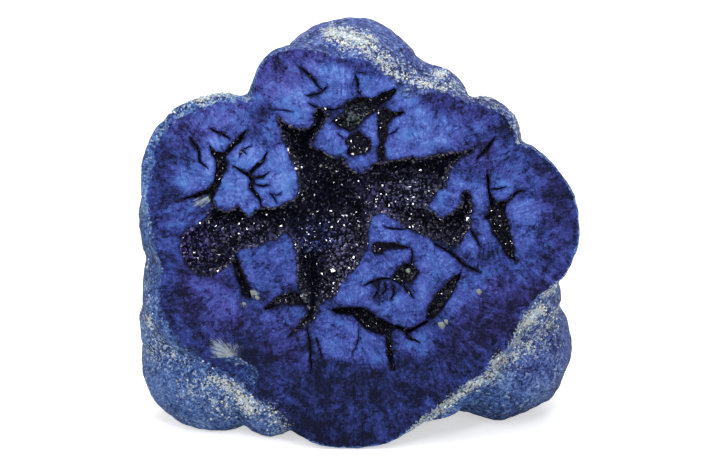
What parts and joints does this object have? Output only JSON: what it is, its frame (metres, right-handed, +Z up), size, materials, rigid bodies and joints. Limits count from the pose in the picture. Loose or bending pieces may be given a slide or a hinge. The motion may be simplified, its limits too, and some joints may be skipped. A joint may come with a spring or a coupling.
{
  "type": "azurite specimen",
  "caption": "Sawn half of a lobed blue azurite nodule with a flat polished face and a star-shaped hollow lined by small dark crystals.",
  "frame": {"origin": "on the surface it stands on, below the middle of its box", "axes": "+Z up; +X to the right of someone who looks at the sawn face; +Y from the sawn face towards the back"},
  "size_m": [0.0444, 0.0264, 0.0419],
  "materials": {
    "azurite": "dull stone rind, satin on the sawn face",
    "druse": "glassy crystal faces"
  },
  "bodies": {
    "root": {"azurite_nodule": "azurite", "crystal_crust": "druse"}
  },
  "joints": []
}
